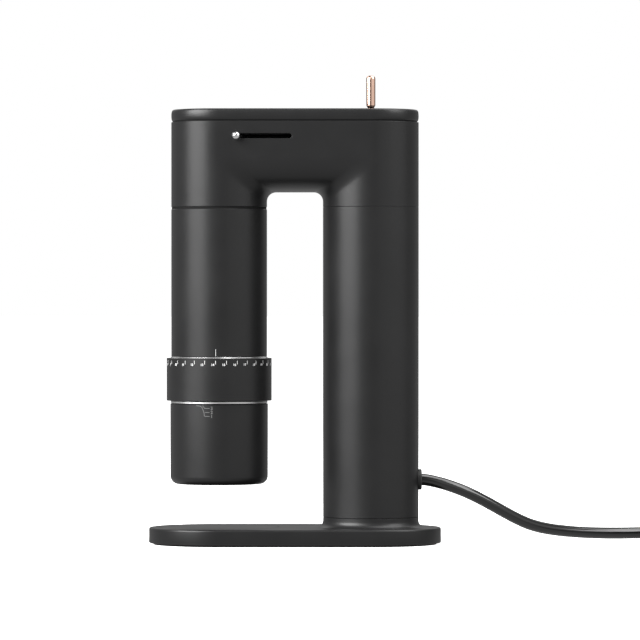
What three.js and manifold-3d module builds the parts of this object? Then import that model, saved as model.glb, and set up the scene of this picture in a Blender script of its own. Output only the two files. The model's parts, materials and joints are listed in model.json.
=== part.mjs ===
// Motor-driven coffee grinder on a two-column stand. Millimetres, +Z up, front faces -Y.
// The origin is under the middle of the base, on the surface that the grinder stands on.
import * as THREE from 'three';
import { mergeVertices } from 'three/addons/utils/BufferGeometryUtils.js';
import Module from 'manifold-3d';

const wasm = await Module();
wasm.setup();

// Driving dimensions
const GAP = 0.3;
const COLUMN_X = -45.5;
const TOWER_X = 45.5;
const TUBE_R = 28.7;
const BORE_R = 26;
const BASE_R = 42.15;
const BASE_TOP = 10.3;
const BASE_UNDER = 1.2;
const BOSS_TOP = 16.3;
const HOUSING_Z0 = 202.2;
const HOUSING_Z1 = 253;
const BRIDGE_EDGE_Z = 233;
const BRIDGE_DROP = 22;
const BRIDGE_FULLNESS = 2.4;
const HOUSING_WALL = TUBE_R - BORE_R;
const COVER_Z0 = 253.6;
const COVER_Z1 = 260.5;
const HATCH_Z = 244.1;
const SLOT_H = 3;
const SLOT_X0 = -36.4;
const SLOT_X1 = -1.8;
const BALL_X = -34.9;
const INLET_R = 13;
const INLET_WALL = 2;
const COLUMN_Z0 = 112.9;
const COLUMN_Z1 = 200.9;
const SPIGOT_R = BORE_R - GAP;
const SPIGOT_BORE = 23.2;
const SPIGOT_TOP = 210.2;
const GROOVE_R = 28;
const DIAL_R = 31.5;
const DIAL_Z0 = 86.2;
const DIAL_Z1 = 112.5;
const NECK_R = 27;
const CUP_R = 29.25;
const CUP_Z0 = 36.1;
const CUP_Z1 = 84.4;
const SEAT_Z0 = 84.7;
const SEAT_Z1 = 85.9;
const TOGGLE_PIVOT_Z = 255;
const TOGGLE_TIP_Z = 281.1;
const TOGGLE_R = 2.75;
const MOUNT_Z0 = 205.1;
const MOUNT_Z1 = 209.1;
const GEAR_Z0 = 220.5;
const GEAR_Z1 = 226.5;
const CASE_Z0 = 218.4;
const CASE_R = 15;
const CASE_WALL = 1.5;
const CASE_RIM_Z = 227.4;
const SHAFT_R = 4;
const MOTOR_SHAFT_R = 3;
const SHAFT_TOP = 227;
const AXLE_R = 2;
const AXLE_TOP = 229;
const CORD_R = 3.55;
const CORD_BORE_R = CORD_R + 0.4;
const CORD_Z = 38.8;
const GROMMET_BODY_R = 4.6;
const COIL = { x: 263, y: 32, inner: 31.3, outer: 45.8, z0: 0.1, z1: 14.3 };
const PLUG = { x: 305, y: 2, z: 7.1 };
const ROUND = 40;
const SMALL_ROUND = 20;
const FINE_ROUND = 10;
const CURVE_STEPS = 6;
const TURN = 2 * Math.PI;
const WELD_DISTANCE = 1e-4;
// How far a cutter runs past the body that it cuts
const BEYOND = 1;
const SIDES = [-1, 1];
const THREE_WAYS = [90, 210, 330];

const grinder = new THREE.Group();

// Finishes
const finish = (color, roughness, metalness) =>
  new THREE.MeshStandardMaterial({ color, roughness, metalness });
const BLACK = finish(0x2b2b2c, 0.45, 0.6);
const RUBBER = finish(0x141414, 0.9, 0);
const PLASTIC = finish(0x232323, 0.55, 0);
const STEEL = finish(0xb9bbbd, 0.3, 1);
const COPPER = finish(0xd9a58c, 0.2, 1);
const ALUMINIUM = finish(0xa9abad, 0.4, 1);
const BRASS = finish(0xb8974f, 0.35, 1);
const CORD = finish(0x0c0c0c, 0.25, 0);

function add(name, geometry, material) {
  const mesh = new THREE.Mesh(geometry, material);
  mesh.name = name;
  grinder.add(mesh);
}

// Joining and cutting
function toSolid(geometry) {
  const bare = geometry.clone();
  bare.deleteAttribute('normal');
  bare.deleteAttribute('uv');
  const merged = mergeVertices(bare, WELD_DISTANCE);
  const index = merged.index.array;
  const kept = [];
  for (let i = 0; i < index.length; i += 3) {
    const [a, b, c] = index.slice(i, i + 3);
    if (a !== b && b !== c && c !== a) kept.push(a, b, c);
  }
  const vertProperties = new Float32Array(merged.attributes.position.array);
  const triVerts = new Uint32Array(kept);
  return new wasm.Manifold(new wasm.Mesh({ numProp: 3, vertProperties, triVerts }));
}

function toGeometry(solid) {
  const mesh = solid.getMesh();
  const geometry = new THREE.BufferGeometry();
  const position = new THREE.BufferAttribute(new Float32Array(mesh.vertProperties), 3);
  geometry.setAttribute('position', position);
  geometry.setIndex(new THREE.BufferAttribute(new Uint32Array(mesh.triVerts), 1));
  return geometry;
}

const join = (first, ...others) =>
  toGeometry(others.reduce((sum, part) => sum.add(toSolid(part)), toSolid(first)));
const cut = (body, ...tools) =>
  toGeometry(tools.reduce((rest, tool) => rest.subtract(toSolid(tool)), toSolid(body)));

// Basic bodies
function facingOut(geometry) {
  const p = geometry.attributes.position;
  const index = geometry.index.array;
  const [a, b, c] = [new THREE.Vector3(), new THREE.Vector3(), new THREE.Vector3()];
  let volume = 0;
  for (let i = 0; i < index.length; i += 3) {
    a.fromBufferAttribute(p, index[i]);
    b.fromBufferAttribute(p, index[i + 1]);
    c.fromBufferAttribute(p, index[i + 2]);
    volume += a.dot(b.cross(c));
  }
  if (volume < 0) geometry.setIndex(Array.from(index).reverse());
  return geometry;
}

// A body turned about the vertical line through (x, y), from a profile of [radius, z] points.
function turned(profile, x = 0, y = 0, segments = ROUND) {
  const points = profile.map(([r, z]) => new THREE.Vector2(r, z));
  const geometry = new THREE.LatheGeometry(points, segments);
  geometry.rotateX(Math.PI / 2);
  geometry.translate(x, y, 0);
  return facingOut(geometry);
}

const rod = (r, z0, z1, x = 0, y = 0, segments = ROUND) =>
  turned([[0, z0], [r, z0], [r, z1], [0, z1]], x, y, segments);
const ring = (inner, outer, z0, z1, x = 0, y = 0, segments = ROUND) =>
  turned([[inner, z0], [outer, z0], [outer, z1], [inner, z1], [inner, z0]], x, y, segments);

// A rod along X from x0 to x1, at height z.
function rodAlongX(r0, r1, x0, x1, z, segments = SMALL_ROUND) {
  const geometry = rod(1, 0, 1, 0, 0, segments);
  const p = geometry.attributes.position;
  for (let i = 0; i < p.count; i += 1) {
    const t = p.getZ(i);
    const r = r0 + (r1 - r0) * t;
    p.setXYZ(i, x0 + (x1 - x0) * t, r * p.getX(i), z + r * p.getY(i));
  }
  return facingOut(geometry);
}

function box(x0, x1, y0, y1, z0, z1) {
  const geometry = new THREE.BoxGeometry(x1 - x0, y1 - y0, z1 - z0);
  return geometry.translate((x0 + x1) / 2, (y0 + y1) / 2, (z0 + z1) / 2);
}

function stadium(radius, halfSpan) {
  const shape = new THREE.Shape();
  shape.absarc(halfSpan, 0, radius, -Math.PI / 2, Math.PI / 2);
  shape.absarc(-halfSpan, 0, radius, Math.PI / 2, 1.5 * Math.PI);
  return shape;
}

// An upright prism on a stadium outline, with rounded edges if bevel is given.
function slab(radius, z0, z1, { x = 0, halfSpan = TOWER_X, bevel = 0, segments = ROUND / 4 } = {}) {
  const geometry = new THREE.ExtrudeGeometry(stadium(radius, halfSpan), {
    depth: z1 - z0 - 2 * bevel,
    bevelEnabled: bevel > 0,
    bevelThickness: bevel,
    bevelSize: bevel,
    bevelOffset: -bevel,
    bevelSegments: 1,
    curveSegments: segments,
  });
  return geometry.translate(x, 0, z0 + bevel);
}

const arc = (cx, cz, r, from, to, steps) =>
  Array.from({ length: steps + 1 }, (_, i) => {
    const a = from + ((to - from) * i) / steps;
    return [cx + r * Math.cos(a), cz + r * Math.sin(a)];
  });

const aroundCircle = (x, radius, degreesList) =>
  degreesList.map((degrees) => {
    const a = THREE.MathUtils.degToRad(degrees);
    return [x + radius * Math.cos(a), radius * Math.sin(a)];
  });

// An upright turned screw. The head and the shank each have a radius and two heights.
function screw([x, y], { headR, shankR, headZ0, headZ1, shankZ0, shankZ1 }) {
  const headBelow = [
    [0, headZ0], [headR, headZ0], [headR, headZ1], [shankR, headZ1], [shankR, shankZ1], [0, shankZ1],
  ];
  const headAbove = [
    [0, shankZ0], [shankR, shankZ0], [shankR, headZ0], [headR, headZ0], [headR, headZ1], [0, headZ1],
  ];
  return turned(headZ0 < shankZ0 ? headBelow : headAbove, x, y, FINE_ROUND);
}

// Base
const BASE_EDGE = 1;
const FLARE = 4;
const PAD_R = 39.5;
const PAD_TOP = 2.2;
const POCKET_R = 34;
const POCKET_TOP = 7.5;
const POCKET_PLACE = { x: -28, halfSpan: 20 };
const FOOT_BORE_R = 8;
const FOOT_TOP = BOSS_TOP + 10;
const SLEEVE_Z0 = 188;
const SCREW_CIRCLE = 16;
const SCREW_HOLE_R = AXLE_R + GAP;
const BASE_SCREW = {
  headR: 3.6, shankR: AXLE_R, headZ0: 4.4, headZ1: POCKET_TOP, shankZ0: POCKET_TOP, shankZ1: 24,
};
const screwPlaces = aroundCircle(TOWER_X, SCREW_CIRCLE, THREE_WAYS);

function basePlate() {
  const plate = slab(BASE_R, BASE_UNDER, BASE_TOP, { bevel: BASE_EDGE });
  const boss = turned([
    [0, POCKET_TOP + BEYOND],
    [TUBE_R + FLARE, POCKET_TOP + BEYOND],
    ...arc(TUBE_R + FLARE, BASE_TOP + FLARE, FLARE, -Math.PI / 2, -Math.PI, 3),
    [TUBE_R, BOSS_TOP],
    [0, BOSS_TOP],
  ], TOWER_X);
  const padRecess = slab(PAD_R + GAP, BASE_UNDER - BEYOND, PAD_TOP + GAP);
  const pocket = slab(POCKET_R, BASE_UNDER, POCKET_TOP, POCKET_PLACE);
  const holes = screwPlaces.flatMap(([x, y]) => [
    rod(SCREW_HOLE_R, BASE_UNDER, BOSS_TOP + BEYOND, x, y, FINE_ROUND),
    rod(BASE_SCREW.headR + GAP, BASE_UNDER, BASE_SCREW.headZ1 + GAP, x, y, FINE_ROUND),
  ]);
  return cut(join(plate, boss), padRecess, pocket, ...holes);
}

function tower() {
  const tube = ring(BORE_R, TUBE_R, BOSS_TOP + GAP, HOUSING_Z0 - GAP, TOWER_X);
  const exitHoleR = GROMMET_BODY_R + GAP;
  const exitHole = rodAlongX(exitHoleR, exitHoleR, TOWER_X + BORE_R / 2, TOWER_X + TUBE_R + BEYOND, CORD_Z);
  add('tower_tube', cut(tube, exitHole), BLACK);
  const foot = ring(FOOT_BORE_R, SPIGOT_R, BOSS_TOP + GAP, FOOT_TOP, TOWER_X);
  const holes = screwPlaces.map(([x, y]) => rod(SCREW_HOLE_R, BOSS_TOP, FOOT_TOP + BEYOND, x, y, FINE_ROUND));
  add('tower_foot', cut(foot, ...holes), ALUMINIUM);
  add('joint_sleeve', ring(SPIGOT_BORE, SPIGOT_R, SLEEVE_Z0, MOUNT_Z0 - GAP, TOWER_X), ALUMINIUM);
}

function base() {
  add('foot_pad', slab(PAD_R, 0, PAD_TOP), RUBBER);
  add('base_plate', basePlate(), BLACK);
  const ballast = slab(POCKET_R - GAP, PAD_TOP + 2 * GAP, POCKET_TOP - GAP, POCKET_PLACE);
  add('ballast_plate', ballast, STEEL);
  screwPlaces.forEach((place, i) => add(`base_screw_${i + 1}`, screw(place, BASE_SCREW), STEEL));
}

// Housing and cover
const COVER_EDGE = 1.2;
const COVER_LIP_Z = 250.5;
const COVER_ROOF_Z = 257.6;
const COVER_POCKET_R = 24.2;
const CHUTE_Z0 = 247.6;
const BUSHING_R = 5.8;
const BUSHING_TOP = 258.3;
const LEVER_HOLE_R = 3.3;

// The bridge between the two collars: flat sides and a rounded underside, inset by `wall`.
function bridge(wall, top) {
  const halfWidth = TUBE_R - wall;
  const drop = BRIDGE_DROP - wall;
  const bulge = (share) => Math.sign(share) * Math.abs(share) ** (2 / BRIDGE_FULLNESS);
  const underside = Array.from({ length: SMALL_ROUND + 1 }, (_, i) => {
    const a = Math.PI + (Math.PI * i) / SMALL_ROUND;
    return new THREE.Vector2(halfWidth * bulge(Math.cos(a)), BRIDGE_EDGE_Z + drop * bulge(Math.sin(a)));
  });
  const corners = [new THREE.Vector2(halfWidth, top), new THREE.Vector2(-halfWidth, top)];
  const section = new THREE.Shape([...corners, ...underside]);
  const geometry = new THREE.ExtrudeGeometry(section, { depth: 2 * TOWER_X, bevelEnabled: false });
  const turn = new THREE.Matrix4().makeBasis(
    new THREE.Vector3(0, 1, 0),
    new THREE.Vector3(0, 0, 1),
    new THREE.Vector3(1, 0, 0),
  );
  return geometry.applyMatrix4(turn).translate(-TOWER_X, 0, 0);
}

function slotCutter(halfHeight) {
  const middle = (SLOT_X0 + SLOT_X1) / 2;
  const halfSpan = (SLOT_X1 - SLOT_X0) / 2 - halfHeight;
  const depth = 2 * HOUSING_WALL + 2 * BEYOND;
  const options = { depth, bevelEnabled: false, curveSegments: CURVE_STEPS };
  const geometry = new THREE.ExtrudeGeometry(stadium(halfHeight, halfSpan), options);
  return geometry.rotateX(Math.PI / 2).translate(middle, -BORE_R + BEYOND, HATCH_Z);
}

function upperHousing() {
  const outer = [COLUMN_X, TOWER_X].map((x) => rod(TUBE_R, HOUSING_Z0, HOUSING_Z1, x));
  const inner = [COLUMN_X, TOWER_X].map((x) => rod(BORE_R, HOUSING_Z0 - BEYOND, HOUSING_Z1 + BEYOND, x));
  const shell = join(bridge(0, HOUSING_Z1), ...outer);
  return cut(shell, ...inner, bridge(HOUSING_WALL, HOUSING_Z1 + BEYOND), slotCutter(SLOT_H / 2));
}

function topCover() {
  const plate = slab(TUBE_R, COVER_Z0, COVER_Z1, { bevel: COVER_EDGE });
  const lip = slab(SPIGOT_R, COVER_LIP_Z, COVER_Z0 + COVER_EDGE + GAP);
  const pocket = slab(COVER_POCKET_R, COVER_LIP_Z - BEYOND, COVER_ROOF_Z);
  const chute = ring(INLET_R, INLET_R + INLET_WALL, CHUTE_Z0, COVER_ROOF_Z + GAP, COLUMN_X);
  const inlet = rod(INLET_R, CHUTE_Z0 - BEYOND, COVER_Z1 + BEYOND, COLUMN_X);
  const roofHole = (r, top) => rod(r, COVER_ROOF_Z - BEYOND, top, TOWER_X, 0, SMALL_ROUND);
  const bushingHole = roofHole(BUSHING_R + GAP, BUSHING_TOP + GAP);
  const leverHole = roofHole(LEVER_HOLE_R, COVER_Z1 + BEYOND);
  const shell = cut(join(plate, lip), pocket);
  return cut(join(shell, chute), inlet, bushingHole, leverHole);
}

// Sliding hatch under the bean inlet
const HATCH_HALF_T = 0.8;
const HATCH_HALF_Y = 14.5;
const HATCH_X0 = -59.8;
const HATCH_X1 = -31.2;
const FRAME_X0 = -60;
const FRAME_X1 = 6;
const RAIL_X1 = 2;
const RAIL_Z0 = 241.6;
const SHEET_Z0 = 245.3;
const SHEET_Z1 = 247.3;
const RAIL_Y0 = HATCH_HALF_Y + 0.4;
const RAIL_Y1 = RAIL_Y0 + 2;
const LIP_Y0 = HATCH_HALF_Y - 1.3;
const LIP_Z1 = 242.9;
const STEM_R = 1;
const STEM_LENGTH = 13.6;
const STEM_WAY = { x0: -37.5, x1: -1, z0: 242.6 };
const BALL_R = 2.5;

// A box from inner to outer on one side of the X axis.
function boxOnSide(side, inner, outer, x0, x1, z0, z1) {
  const [y0, y1] = [side * inner, side * outer].sort((a, b) => a - b);
  return box(x0, x1, y0, y1, z0, z1);
}

function hatchFrame() {
  const rails = SIDES.flatMap((side) => [
    boxOnSide(side, RAIL_Y0, RAIL_Y1, FRAME_X0, RAIL_X1, RAIL_Z0, SHEET_Z0 + BEYOND),
    boxOnSide(side, LIP_Y0, RAIL_Y0 + BEYOND, FRAME_X0, RAIL_X1, RAIL_Z0, LIP_Z1),
  ]);
  const sheet = box(FRAME_X0, FRAME_X1, -RAIL_Y1 - BEYOND, RAIL_Y1 + BEYOND, SHEET_Z0, SHEET_Z1);
  const { x0, x1, z0 } = STEM_WAY;
  const stemWay = boxOnSide(-1, LIP_Y0 - GAP, RAIL_Y1 + 2 * BEYOND, x0, x1, z0, SHEET_Z0);
  const opening = rod(INLET_R, SHEET_Z0 - GAP, SHEET_Z1 + BEYOND, COLUMN_X);
  return cut(join(sheet, ...rails), opening, stemWay);
}

function hatch() {
  add('hatch_frame', hatchFrame(), PLASTIC);
  const plateZ = [HATCH_Z - HATCH_HALF_T, HATCH_Z + HATCH_HALF_T];
  add('hatch_plate', box(HATCH_X0, HATCH_X1, -HATCH_HALF_Y, HATCH_HALF_Y, ...plateZ), STEEL);
  const stem = rod(STEM_R, 0, STEM_LENGTH, 0, 0, FINE_ROUND).rotateX(Math.PI / 2);
  const stemY = -HATCH_HALF_Y - GAP;
  add('hatch_stem', stem.translate(BALL_X, stemY, HATCH_Z), STEEL);
  const ball = new THREE.SphereGeometry(BALL_R, 16, FINE_ROUND);
  add('hatch_ball', ball.translate(BALL_X, stemY - STEM_LENGTH - GAP - BALL_R, HATCH_Z), STEEL);
}

// Toggle switch
const NECK_STEM_R = 1.6;
const PIVOT_BALL_R = 2.2;
const TIP_ROUND = 1.4;
const NECK_TOP_Z = 261.1;
const SHOULDER_Z = 263.1;
const SWITCH = { halfX: 7, halfY: 10, z0: 236, z1: 252.4 };
const BUSHING_BORE_R = 3.6;

function toggle() {
  const neckStart = Math.acos(NECK_STEM_R / PIVOT_BALL_R);
  const lever = [
    [0, TOGGLE_PIVOT_Z - PIVOT_BALL_R],
    ...arc(0, TOGGLE_PIVOT_Z, PIVOT_BALL_R, -Math.PI / 3, neckStart, 5),
    [NECK_STEM_R, NECK_TOP_Z],
    [TOGGLE_R, SHOULDER_Z],
    ...arc(TOGGLE_R - TIP_ROUND, TOGGLE_TIP_Z - TIP_ROUND, TIP_ROUND, 0, Math.PI / 2, 4),
    [0, TOGGLE_TIP_Z],
  ];
  add('toggle_lever', turned(lever, TOWER_X, 0, SMALL_ROUND), COPPER);
  const { halfX, halfY, z0, z1 } = SWITCH;
  const body = box(TOWER_X - halfX, TOWER_X + halfX, -halfY, halfY, z0, z1);
  const bushing = ring(BUSHING_BORE_R, BUSHING_R, z1 - GAP, BUSHING_TOP, TOWER_X, 0, SMALL_ROUND);
  add('switch_body', join(body, bushing), PLASTIC);
}

// Drive in the tower
const MOTOR = { canR: 18.5, gearboxR: 18, z0: 110, z1: 172 };
const MOTOR_BORE_Z0 = 195;
const MOTOR_SCREW_HOLE_Z0 = 189;
const MOTOR_SCREW_Y = 12;
const MOTOR_SCREW = {
  headR: 2.8, shankR: 1.5, headZ0: MOUNT_Z1 + GAP, headZ1: 211.9, shankZ0: 191, shankZ1: MOUNT_Z1 + GAP,
};
const MOUNT_BORE_R = 3.6;

function motor() {
  const holes = (z0, z1) =>
    SIDES.map((s) => rod(MOTOR_SCREW.shankR + GAP, z0, z1, TOWER_X, s * MOTOR_SCREW_Y, FINE_ROUND));
  add('motor_can', rod(MOTOR.canR, MOTOR.z0, MOTOR.z1, TOWER_X), STEEL);
  const gearbox = rod(MOTOR.gearboxR, MOTOR.z1 + GAP, MOUNT_Z0 - GAP, TOWER_X);
  const bore = rod(MOTOR_SHAFT_R + GAP, MOTOR_BORE_Z0, MOUNT_Z0 + BEYOND, TOWER_X, 0, SMALL_ROUND);
  add('motor_gearbox', cut(gearbox, bore, ...holes(MOTOR_SCREW_HOLE_Z0, MOUNT_Z0)), ALUMINIUM);
  const disc = ring(MOUNT_BORE_R, SPIGOT_R, MOUNT_Z0, MOUNT_Z1, TOWER_X);
  add('motor_mount', cut(disc, ...holes(MOUNT_Z0 - BEYOND, MOUNT_Z1 + BEYOND)), ALUMINIUM);
  SIDES.forEach((side, i) => {
    add(`motor_screw_${i + 1}`, screw([TOWER_X, side * MOTOR_SCREW_Y], MOTOR_SCREW), STEEL);
  });
  const shaft = rod(MOTOR_SHAFT_R, MOTOR_BORE_Z0 + BEYOND, SHAFT_TOP, TOWER_X, 0, SMALL_ROUND);
  add('motor_shaft', shaft, STEEL);
}

const BOARD = { halfX: 17, y0: 8, y1: 9.6, z0: 52, z1: 96 };
// Transformer, capacitor bank and relay: x from the tower's axis, then y, then z.
const BOARD_PARTS = [
  { x: [-15, -1], y0: -4, z: [56, 72] },
  { x: [3, 14], y0: -2, z: [60, 84] },
  { x: [-13, -4], y0: 0, z: [78, 90] },
];

function controlBoard() {
  const { halfX, y0, y1, z0, z1 } = BOARD;
  const board = box(TOWER_X - halfX, TOWER_X + halfX, y0, y1, z0, z1);
  const parts = BOARD_PARTS.map((part) =>
    box(TOWER_X + part.x[0], TOWER_X + part.x[1], part.y0, (y0 + y1) / 2, ...part.z));
  return join(board, ...parts);
}

// Gear train: module 1, so a pitch radius is half the number of teeth.
const PINION_TEETH = 16;
const IDLER_TEETH = 24;
const DRIVEN_TEETH = 22;
const ROOT_DEPTH = 1.15;
const TIP_HEIGHT = 0.8;
const ROOT_SHARE = 0.29;
const TIP_SHARE = 0.09;

function gear(teeth, bore, x, phase) {
  const pitchR = teeth / 2;
  const [rootR, tipR] = [pitchR - ROOT_DEPTH, pitchR + TIP_HEIGHT];
  const corners = [[rootR, -ROOT_SHARE], [tipR, -TIP_SHARE], [tipR, TIP_SHARE], [rootR, ROOT_SHARE]];
  const step = TURN / teeth;
  const outline = Array.from({ length: teeth }, (_, i) =>
    corners.map(([r, share]) => {
      const a = (i + share) * step + phase;
      return new THREE.Vector2(r * Math.cos(a), r * Math.sin(a));
    }));
  const shape = new THREE.Shape(outline.flat());
  const hole = new THREE.Path();
  hole.absarc(0, 0, bore, 0, TURN, true);
  shape.holes.push(hole);
  const options = { depth: GEAR_Z1 - GEAR_Z0, bevelEnabled: false, curveSegments: CURVE_STEPS };
  return new THREE.ExtrudeGeometry(shape, options).translate(x, 0, GEAR_Z0);
}

const idlerPlaces = [1, 2, 3].map(
  (i) => TOWER_X - PINION_TEETH / 2 - IDLER_TEETH / 2 - (i - 1) * IDLER_TEETH,
);

function gearTrain() {
  const halfTooth = TURN / IDLER_TEETH / 2;
  add('motor_pinion', gear(PINION_TEETH, MOTOR_SHAFT_R + GAP, TOWER_X, 0), STEEL);
  idlerPlaces.forEach((x, i) => {
    const phase = i % 2 === 0 ? halfTooth : 0;
    add(`idler_gear_${i + 1}`, gear(IDLER_TEETH, AXLE_R + GAP, x, phase), PLASTIC);
    add(`idler_axle_${i + 1}`, rod(AXLE_R, CASE_Z0 + GAP, AXLE_TOP, x, 0, FINE_ROUND), STEEL);
  });
  add('driven_gear', gear(DRIVEN_TEETH, SHAFT_R + GAP, COLUMN_X, 0), BRASS);
}

const SHAFT_PLAY = 0.4;
const CASE_ROUND = { segments: 8 };

function gearCase() {
  const hole = (r, top, x, segments) => rod(r, CASE_Z0 - BEYOND, top, x, 0, segments);
  const axleHoles = () => idlerPlaces.map((x) => hole(AXLE_R + GAP, AXLE_TOP + BEYOND, x, FINE_ROUND));
  const outside = slab(CASE_R, CASE_Z0, CASE_RIM_Z, CASE_ROUND);
  const room = slab(CASE_R - CASE_WALL, CASE_Z0 + CASE_WALL, CASE_RIM_Z + BEYOND, CASE_ROUND);
  const shaftHoles = [
    hole(SHAFT_R + SHAFT_PLAY, GEAR_Z0, COLUMN_X, SMALL_ROUND),
    hole(MOTOR_SHAFT_R + SHAFT_PLAY, GEAR_Z0, TOWER_X, SMALL_ROUND),
  ];
  add('gear_case', cut(outside, room, ...shaftHoles, ...axleHoles()), PLASTIC);
  const lid = slab(CASE_R, CASE_RIM_Z + GAP, CASE_RIM_Z + GAP + CASE_WALL, CASE_ROUND);
  add('gear_case_cover', cut(lid, ...axleHoles()), PLASTIC);
}

// Bean chamber
const CHAMBER_R = 25;
const CHAMBER_Z0 = 116;
const CHAMBER_Z1 = 196.2;
const NECK_BORE_R = 24.6;
const CHAMBER_STEP_Z = CHAMBER_Z0 - (CHAMBER_R - NECK_BORE_R);
const THROAT_Z = 198;
const THREAD_Z0 = 95.9;
const THREAD_Z1 = 102.6;
const LUG_WAY_W = 5;
const LINER_R = 24.2;
const LINER_TOP = 241.2;
const WINDOW = { halfY: 16.5, z0: 217.9, z1: 229.8 };
const BEARING_R = 8;
const BEARING_H = 4;
const ARM = { end: 23.5, width: 4.4 };
const RIM_WALL = 2.1;
const HUB_WALL = 2.2;
const SPIDER_Z0 = { upper: 190, lower: 118 };

// Three blocks set round the column, between two radii.
function blocksAround(r0, r1, width, z0, z1) {
  return THREE_WAYS.map((degrees) => {
    const block = box(r0, r1, -width / 2, width / 2, z0, z1);
    return block.rotateZ(THREE.MathUtils.degToRad(degrees)).translate(COLUMN_X, 0, 0);
  });
}

function columnBody() {
  const tube = turned([
    [NECK_BORE_R, DIAL_Z0],
    [NECK_R, DIAL_Z0],
    [NECK_R, COLUMN_Z0],
    [TUBE_R, COLUMN_Z0],
    [TUBE_R, COLUMN_Z1],
    [GROOVE_R, COLUMN_Z1],
    [GROOVE_R, HOUSING_Z0 - GAP],
    [SPIGOT_R, HOUSING_Z0 - GAP],
    [SPIGOT_R, SPIGOT_TOP],
    [SPIGOT_BORE, SPIGOT_TOP],
    [SPIGOT_BORE, THROAT_Z],
    [CHAMBER_R, CHAMBER_Z1],
    [CHAMBER_R, CHAMBER_Z0],
    [NECK_BORE_R, CHAMBER_STEP_Z],
    [NECK_BORE_R, DIAL_Z0],
  ], COLUMN_X);
  const lugWays = blocksAround(NECK_BORE_R - BEYOND, NECK_R + BEYOND, LUG_WAY_W, THREAD_Z0, THREAD_Z1);
  return cut(tube, ...lugWays);
}

function hopperLiner() {
  const liner = ring(LINER_R, SPIGOT_R, SPIGOT_TOP + GAP, LINER_TOP, COLUMN_X);
  const [x0, x1] = [COLUMN_X + CASE_R / 2, COLUMN_X + BORE_R + BEYOND];
  return cut(liner, box(x0, x1, -WINDOW.halfY, WINDOW.halfY, WINDOW.z0, WINDOW.z1));
}

// Three arms between an outer ring and a hub that holds a bearing.
function spider(z0) {
  const z1 = z0 + BEARING_H;
  const arms = blocksAround(BEARING_R + BEYOND, ARM.end, ARM.width, z0, z1);
  const [rimR, hubBore] = [CHAMBER_R - GAP, BEARING_R + GAP];
  const rim = ring(rimR - RIM_WALL, rimR, z0, z1, COLUMN_X);
  const hub = ring(hubBore, hubBore + HUB_WALL, z0, z1, COLUMN_X, 0, SMALL_ROUND);
  return join(rim, hub, ...arms);
}

function bearings() {
  for (const [name, z0] of Object.entries(SPIDER_Z0)) {
    add(`${name}_spider`, spider(z0), ALUMINIUM);
    const race = ring(SHAFT_R + GAP, BEARING_R, z0, z0 + BEARING_H, COLUMN_X, 0, SMALL_ROUND);
    add(`${name}_bearing`, race, STEEL);
  }
}

// Burrs
const FLUTE_LEAD = 120;

// Cuts flutes into the turned surface that `isCutting` picks, by moving its points in or out.
function fluted(geometry, { count, depth }, isCutting) {
  const p = geometry.attributes.position;
  for (let i = 0; i < p.count; i += 1) {
    const [x, y, z] = [p.getX(i), p.getY(i), p.getZ(i)];
    const r = Math.hypot(x, y);
    if (!isCutting(r)) continue;
    const twist = Math.atan2(y, x) / TURN + z / FLUTE_LEAD;
    const share = (((twist * count) % 1) + 1) % 1;
    const grown = r + depth * Math.abs(2 * share - 1);
    p.setXYZ(i, (x / r) * grown, (y / r) * grown, z);
  }
  return geometry.translate(COLUMN_X, 0, 0);
}

// Burr surfaces are listed from the foot up, as [radius, z].
const BURR_SEGMENTS = 60;
const CONE = { z0: 91.5, z1: 108.5, surface: [[18, 91.5], [17.6, 95], [13.2, 103], [8.4, 108.5]] };
const CONE_FLUTES = { count: 15, depth: -1.2 };
const OUTER_BURR = {
  r: 21.9, z0: 92.8, z1: 108, surface: [[19.4, 92.8], [18.6, 96], [17.2, 103], [16, 108]],
};
const OUTER_FLUTES = { count: 20, depth: 0.9 };
const CARRIER = { inner: 22.2, outer: 24.3, ledge: 20.8, z0: 91.2, z1: 104.5 };
const LUG = { outer: 29, width: 4.4, z0: 97.4, z1: 100.9 };
const LUG_PLAY = 0.4;
const NUT = { r: 7.5, z0: 87.2, z1: 91.2, sides: 6 };
const SHAFT_FOOT_Z = 86.5;
const AUGER = { hubR: 6.5, bladeR: 14, bladeW: 2, z0: 108.8, z1: 116.5, bladeZ0: 110, bladeZ1: 116 };

function burrs() {
  const bore = SHAFT_R + GAP;
  const [coneFoot, coneTop] = [[bore, CONE.z0], [bore, CONE.z1]];
  const cone = turned([coneFoot, ...CONE.surface, coneTop, coneFoot], 0, 0, BURR_SEGMENTS);
  add('cone_burr', fluted(cone, CONE_FLUTES, (r) => r > bore + BEYOND), STEEL);
  const { r: outerR, z0, z1, surface } = OUTER_BURR;
  const outerWall = [[outerR, z1], [outerR, z0]];
  const outer = turned([...surface, ...outerWall, surface[0]], 0, 0, BURR_SEGMENTS);
  add('ring_burr', fluted(outer, OUTER_FLUTES, (r) => r < outerR - BEYOND), STEEL);
}

function burrCarrier() {
  const { inner, outer, ledge, z0, z1 } = CARRIER;
  return join(
    ring(inner, outer, z0, z1, COLUMN_X),
    ring(ledge, inner + GAP, z0, OUTER_BURR.z0 - GAP, COLUMN_X),
    ...blocksAround(inner + BEYOND, LUG.outer, LUG.width, LUG.z0, LUG.z1),
  );
}

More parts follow.
